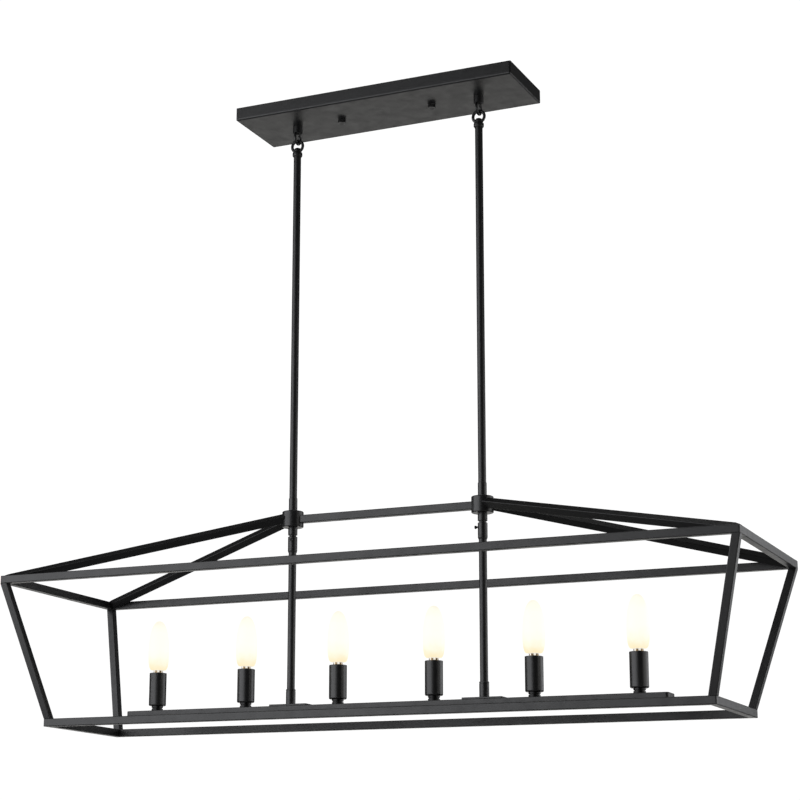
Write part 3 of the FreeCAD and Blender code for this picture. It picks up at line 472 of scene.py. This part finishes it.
def thread(pitch, depth, start, stop):
    """Radius change of a rolled thread between two heights, fading out at its ends."""
    def shape(a, r, z, k):
        if not start < z < stop:
            return r
        turn = (z / pitch - a / math.tau) % 1.0
        fade = min(1.0, (z - start) / pitch, (stop - z) / pitch)
        return r - depth * fade * (0.5 - 0.5 * math.cos(math.tau * turn))
    return shape


def levels(a, b, step):
    n = max(1, int(math.ceil(abs(b - a) / step)))
    return [a + (b - a) * k / n for k in range(n + 1)]


def threaded_tube(bm, x, y, top, end, radius, bore, pitch=1.0, depth=0.42):
    """Running-thread tube with chamfered ends, or a solid rod if bore is 0."""
    c = 0.45
    outer = [(radius - c, end), (radius, end + c)]
    outer += [(radius, z) for z in levels(end + c, top - c, pitch / 6.0)[1:-1]]
    outer += [(radius, top - c), (radius - c, top)]
    cut = thread(pitch, depth, end + c, top - c)

    def shape(a, r, z, k):
        return cut(a, r, z, k) if abs(r - radius) < 1e-6 else r
    if bore:
        turned(bm, outer + [(bore, top), (bore, end)], at(x, y), 36, closed=True, shape=shape)
    else:
        turned(bm, [(0, end)] + outer + [(0, top)], at(x, y), 30, shape=shape)


def hex_nut(bm, x, y, top, end, flat, bore):
    """Hexagon nut, corners turned off at 30 degrees on both faces."""
    corner = flat / 2 / math.cos(math.pi / 6)
    rim = flat / 2 * 0.95
    slope = math.tan(math.radians(30))
    drop = (corner - rim) * slope
    outline = [(rim, end)] + [(corner, end + drop * q) for q in (0.25, 0.5, 0.75, 1.0)]
    outline += [(corner, top - drop * q) for q in (1.0, 0.75, 0.5, 0.25)] + [(rim, top)]
    outline += [(bore + 0.5, top), (bore, top - 0.5), (bore, end + 0.5), (bore + 0.5, end)]

    def shape(a, r, z, k):
        if r < rim - 0.01:
            return r
        side = ((a + math.pi / 6) % (math.pi / 3)) - math.pi / 6
        gap = min(z - end, top - z)
        return min(flat / 2 / math.cos(side), rim + gap / slope, r)
    turned(bm, outline, at(x, y), 72, closed=True, shape=shape)


# ------------------------------------------------------------- ceiling mount
low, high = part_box("strap_studs")
bm = bmesh.new()
for side in (-1, 1):
    threaded_tube(bm, 83.0 * side, 0, high.z / MM, low.z / MM, 2.0, 0, pitch=0.7, depth=0.36)
piece("studs_threaded", bm, zinc_mat, "ceiling_mount", instead=("strap_studs",))

low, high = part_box("loop_nipples")
bm = bmesh.new()
for side in (-1, 1):
    threaded_tube(bm, 167.0 * side, 0, high.z / MM, low.z / MM, 4.76, 3.6)
piece("loop_nipples_threaded", bm, zinc_mat, "ceiling_mount",
      instead=("loop_nipples",))

low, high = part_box("loop_lock_nuts")
bm = bmesh.new()
for side in (-1, 1):
    hex_nut(bm, 167.0 * side, 0, high.z / MM, low.z / MM, 14.0, 4.8)
piece("lock_nuts_chamfered", bm, zinc_mat, "ceiling_mount",
      instead=("loop_lock_nuts",))

# knurled cap nuts with a lip
for name, side in (("left", -1), ("right", 1)):
    bm = bmesh.new()
    top, end = -22.5, -29.0
    body_r, lip = 6.5, 7.25
    outline = [(2.1, top), (body_r - 0.5, top), (body_r - 0.12, top - 0.15), (body_r, top - 0.5)]
    outline += [(body_r, z) for z in levels(top - 0.5, end + 1.9, 0.5)[1:]]
    outline += [(body_r - 0.1, end + 1.5), (body_r, end + 1.25), (lip - 0.12, end + 0.85),
                (lip, end + 0.65), (lip, end + 0.32), (lip - 0.15, end + 0.1), (lip - 0.42, end),
                (4.4, end), (4.1, end + 0.12), (0, end + 0.14)]

    def knurl(a, r, z, k, n=26):
        if abs(r - body_r) < 0.01 and end + 1.8 < z < top - 0.4:
            return r - 0.48 * (0.5 - 0.5 * math.cos(n * a)) ** 1.5
        return r
    turned(bm, outline, at(83.0 * side), 26 * 8, shape=knurl)
    # blind bore round the stud
    turned(bm, [(2.1, top), (2.1, -27.8), (0, -27.8)], at(83.0 * side), 26 * 8)
    piece("cap_nut_knurled_" + name, bm, turned_coat, "cap_nut_" + name,
          smooth_angle=40.0, instead=("canopy_nut_" + name,))

# ------------------------------------------------------------ rods and hubs
low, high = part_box("hub_nipples")
bm = bmesh.new()
for side in (-1, 1):
    threaded_tube(bm, 167.0 * side, 0, high.z / MM, low.z / MM, 4.76, 3.6)
piece("hub_nipples_threaded", bm, zinc_mat, "lantern", instead=("hub_nipples",))

# thumb screws: threaded stem, flared neck, ribbed head
for name, side, turn in (("left", -1, 107.0), ("right", 1, 0.0)):
    bm = bmesh.new()
    stem, head, out = 1.5, 2.75, 13.2
    outline = [(0, 6.5), (stem - 0.3, 6.5), (stem, 6.8)]
    outline += [(stem, z) for z in levels(6.8, out - 4.8, 0.1)[1:]]
    outline += [(stem - 0.15, out - 4.6), (stem, out - 4.3), (stem + 0.12, out - 3.9),
                (stem + 0.35, out - 3.2), (stem + 0.72, out - 2.5), (head - 0.25, out - 1.95),
                (head - 0.05, out - 1.7)]
    outline += [(head, z) for z in levels(out - 1.55, out - 0.45, 0.2)]
    outline += [(head - 0.12, out - 0.2), (head - 0.5, out), (head - 0.9, out - 0.03), (0, out - 0.08)]
    cut = thread(0.5, 0.26, 6.7, out - 4.9)

    def shape(a, r, z, k, cut=cut):
        if abs(r - stem) < 1e-6:
            return cut(a, r, z, k)
        if abs(r - head) < 1e-6:
            return r - 0.22 * (0.5 - 0.5 * math.cos(18 * a))
        return r
    angle = math.radians(180.0 + turn)
    way = Vector((math.cos(angle), math.sin(angle), 0))
    turn_to = way.to_track_quat("Z", "Y").to_matrix().to_4x4()
    turned(bm, outline, at(167.0 * side, 0, -745.8) @ turn_to, 72, shape=shape)
    piece("thumb_screw_ribbed_" + name, bm, turned_coat, "screw_" + name,
          smooth_angle=45.0, instead=("thumb_screw_" + name,))

# ------------------------------------------------------------------ lamp bar
bm = bmesh.new()
for k in range(6):
    threaded_tube(bm, 166.0 * (k - 2.5), 0, -997.3, -1025.5, 4.76, 3.6)
for side in (-1, 1):
    threaded_tube(bm, 167.0 * side, 0, -990.6, -1031.0, 4.76, 3.6)
piece("bar_nipples_threaded", bm, zinc_mat, "lantern", instead=("bar_nipples",))

low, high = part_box("bar_nuts")
bm = bmesh.new()
for x in [166.0 * (k - 2.5) for k in range(6)] + [-167.0, 167.0]:
    hex_nut(bm, x, 0, high.z / MM, low.z / MM, 14.0, 4.8)
piece("bar_nuts_chamfered", bm, zinc_mat, "lantern", instead=("bar_nuts",))

low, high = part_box("cover_nuts")
bm = bmesh.new()
for side in (-1, 1):
    hex_nut(bm, 167.0 * side, 0, high.z / MM, low.z / MM, 14.0, 4.8)
piece("cover_nuts_chamfered", bm, zinc_mat, "lantern", instead=("cover_nuts",))

# -------------------------------------------------------------- candle bulbs
TIP, WIDE, NECK, FAT = -866.0, -919.0, -948.7, 17.5


def glass_line(inset, steps=34):
    """Blunt candle outline from the neck to just below the tip."""
    pts = []
    for k in range(steps + 1):
        q = k / steps
        q = q ** 1.6
        grow = 0.62 + 0.38 * (1.0 - (1.0 - q) ** 2.4) ** (1 / 2.4)
        pts.append((FAT * grow - inset, NECK + 0.4 * (1 - q) + (WIDE - NECK) * q))
    up = TIP - inset - WIDE
    for k in range(1, steps + 6):
        q = math.sin(k / (steps + 6) * math.pi / 2)
        g = max(0.0, 1.0 - q ** 2.2) ** (1 / 2.2)
        pts.append((max(0.0, FAT * g - inset), WIDE + up * q))
    return pts


for n in range(6):
    x = 166.0 * (n - 2.5)
    body = "lamp_%d" % (n + 1)
    # glass envelope, 1 mm thick
    bm = bmesh.new()
    skin = [(10.3, NECK + 0.12), (10.55, NECK + 0.22)] + glass_line(0.0) + [(0, TIP)]
    inner = [(0, TIP - 1.0)] + [p for p in reversed(glass_line(1.0))
                                if p[0] > 0.05 and p[1] > NECK + 3.0]
    inner += [(11.6, NECK + 1.9), (9.6, NECK + 1.5), (9.1, NECK + 0.9), (9.3, NECK + 0.12)]
    turned(bm, skin, at(x), 64)
    turned(bm, inner, at(x), 64)
    turned(bm, [(9.3, NECK + 0.12), (10.3, NECK + 0.12)], at(x), 64)
    piece("bulb_glass_%d" % (n + 1), bm, glass_mat, body, smooth_angle=60.0,
          instead=("bulb_%d" % (n + 1),))
    # white collar under the glass
    bm = bmesh.new()
    turned(bm, [(6.3, NECK - 3.6), (6.86, NECK - 3.6), (6.9, NECK - 1.2), (7.3, NECK - 0.5), (8.6, NECK - 0.05),
                (9.9, NECK + 0.04), (10.2, NECK + 0.11), (9.0, NECK + 0.5), (6.3, NECK + 0.5)],
           at(x), 64, closed=True)
    piece("bulb_collar_%d" % (n + 1), bm, collar_mat, body, smooth_angle=50.0)
    # screw cap with its rolled thread
    bm = bmesh.new()
    base = -949.2 - 28.4
    top = NECK - 3.3
    outline = [(5.2, base + 1.9), (5.7, base + 2.1), (6.5, base + 2.9), (6.95, base + 3.6)]
    outline += [(6.95, z) for z in levels(base + 3.6, top - 1.2, 0.32)[1:]]
    outline += [(6.95, top - 0.6), (6.95, top), (6.35, top), (6.35, base + 3.9), (5.0, base + 2.3)]
    cut = thread(2.6, 0.62, base + 4.2, top - 1.6)

    def shape(a, r, z, k, cut=cut):
        return cut(a, r, z, k) if abs(r - 6.95) < 1e-6 else r
    turned(bm, outline, at(x), 48, closed=True, shape=shape)
    # solder pip in the middle of the insulator
    turned(bm, [(0, base), (1.5, base), (2.2, base + 0.2), (2.5, base + 0.7), (2.45, base + 1.0), (0, base + 1.1)],
           at(x), 48)
    piece("bulb_cap_%d" % (n + 1), bm, cap_mat, body, smooth_angle=50.0)
    bm = bmesh.new()
    turned(bm, [(0, base + 0.9), (2.45, base + 0.95), (3.4, base + 1.1), (5.2, base + 1.85), (5.15, base + 2.4),
                (0, base + 2.6)], at(x), 48)
    piece("bulb_insulator_%d" % (n + 1), bm, pip_mat, body, smooth_angle=50.0)

# -------------------------------------------------------------------- studio
bm = bmesh.new()
FLOOR = -2.2
side = 7.0
corner = 0.6
ring = []
for sx, sy, a0 in ((1, 1, 0), (-1, 1, 90), (-1, -1, 180), (1, -1, 270)):
    for k in range(7):
        a = math.radians(a0 + 15 * k)
        ring.append(bm.verts.new((sx * (side - corner) + corner * math.cos(a),
                                  sy * (side - corner) + corner * math.sin(a), FLOOR)))
bm.faces.new(ring)
mesh = bpy.data.meshes.new("floor")
bm.to_mesh(mesh)
bm.free()
mesh.materials.append(floor_paint())
floor = bpy.data.objects.new("floor", mesh)
bpy.context.scene.collection.objects.link(floor)
floor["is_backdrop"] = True

# camera: from below, right of the middle
yaw, pitch, roll = (math.radians(v) for v in (26.123, 13.795, 0.607))
F_PX, CX = 2069.89, 310.0
fwd = Vector((-math.sin(yaw) * math.cos(pitch), math.cos(yaw) * math.cos(pitch), math.sin(pitch)))
right = Vector((math.cos(yaw), math.sin(yaw), 0))
up = right.cross(fwd)
r2 = math.cos(roll) * right + math.sin(roll) * up
u2 = -math.sin(roll) * right + math.cos(roll) * up
camera = bpy.data.cameras.new("camera")
camera.sensor_width = 36.0
camera.lens = F_PX / 800.0 * 36.0
camera.shift_x = (400.0 - CX) / 800.0
camera.clip_start, camera.clip_end = 0.05, 100.0
view = bpy.data.objects.new("camera", camera)
turn = Matrix((r2, u2, -fwd)).transposed().to_4x4()
view.matrix_world = Matrix.Translation((1.3349, -3.0036, -1.3316)) @ turn
bpy.context.scene.collection.objects.link(view)
bpy.context.scene.camera = view

# lights: name, place, aim, width, height, radiance, colour
LIGHTS = (
    ("key_left", (-1.95, -2.02, -0.46), (0, 0, -0.85), 3.7, 2.5, 2.40, (0.99, 1.0, 1.03)),
    ("rear_right", (1.84, 1.40, -0.62), (0, 0, -0.75), 1.6, 1.1, 2.2, (0.99, 1.0, 1.02)),
    ("front", (-0.15, -3.20, -1.15), (0.2, 0, -0.90), 1.1, 1.5, 1.3, (0.99, 1.0, 1.03)),
    ("right", (2.80, 0.10, -0.75), (0, 0, -0.80), 2.0, 1.9, 1.15, (1.0, 0.99, 0.97)),
    ("back_low", (-1.80, 4.00, -1.65), (0, 0, -0.30), 4.2, 1.05, 0.95, (1.0, 0.99, 0.96)),
    ("top", (0.0, 0.0, 3.2), (0, 0, -0.8), 1.6, 1.6, 3.0, (1.0, 1.0, 1.0)),
    ("floor_wash", (0.0, 0.0, -1.45), (0, 0.0, -3.0), 14.0, 14.0, 0.55, (1.0, 1.0, 1.0)),
)
for name, place, aim, wide, tall, bright, colour in LIGHTS:
    lamp = bpy.data.lights.new(name, "AREA")
    lamp.shape = "RECTANGLE"
    lamp.size, lamp.size_y = wide, tall
    lamp.energy = bright * math.pi * wide * tall
    lamp.color = colour
    obj = bpy.data.objects.new(name, lamp)
    obj.location = place
    obj.rotation_mode = "QUATERNION"
    obj.rotation_quaternion = (Vector(aim) - Vector(place)).to_track_quat("-Z", "Y")
    obj.visible_camera = False
    bpy.context.scene.collection.objects.link(obj)

# white surround, dim for everything but the view itself
WORLD_GLOW = 0.065
world = bpy.data.worlds.new("surround")
world.use_nodes = True
bpy.context.scene.world = world
wt = world.node_tree
back = wt.nodes["Background"]
back.inputs["Color"].default_value = (1, 1, 1, 1)
back.inputs["Strength"].default_value = WORLD_GLOW
white = wt.nodes.new("ShaderNodeBackground")
white.inputs["Color"].default_value = (1, 1, 1, 1)
white.inputs["Strength"].default_value = 1.05
path = wt.nodes.new("ShaderNodeLightPath")
pick = wt.nodes.new("ShaderNodeMixShader")
wt.links.new(path.outputs["Is Camera Ray"], pick.inputs[0])
wt.links.new(back.outputs[0], pick.inputs[1])
wt.links.new(white.outputs[0], pick.inputs[2])
wt.links.new(pick.outputs[0], wt.nodes["World Output"].inputs["Surface"])

scene = bpy.context.scene
scene.view_settings.view_transform = "Standard"
scene.view_settings.look = "None"
scene.view_settings.exposure = 0.0
scene.view_settings.gamma = 1.0

low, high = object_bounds()
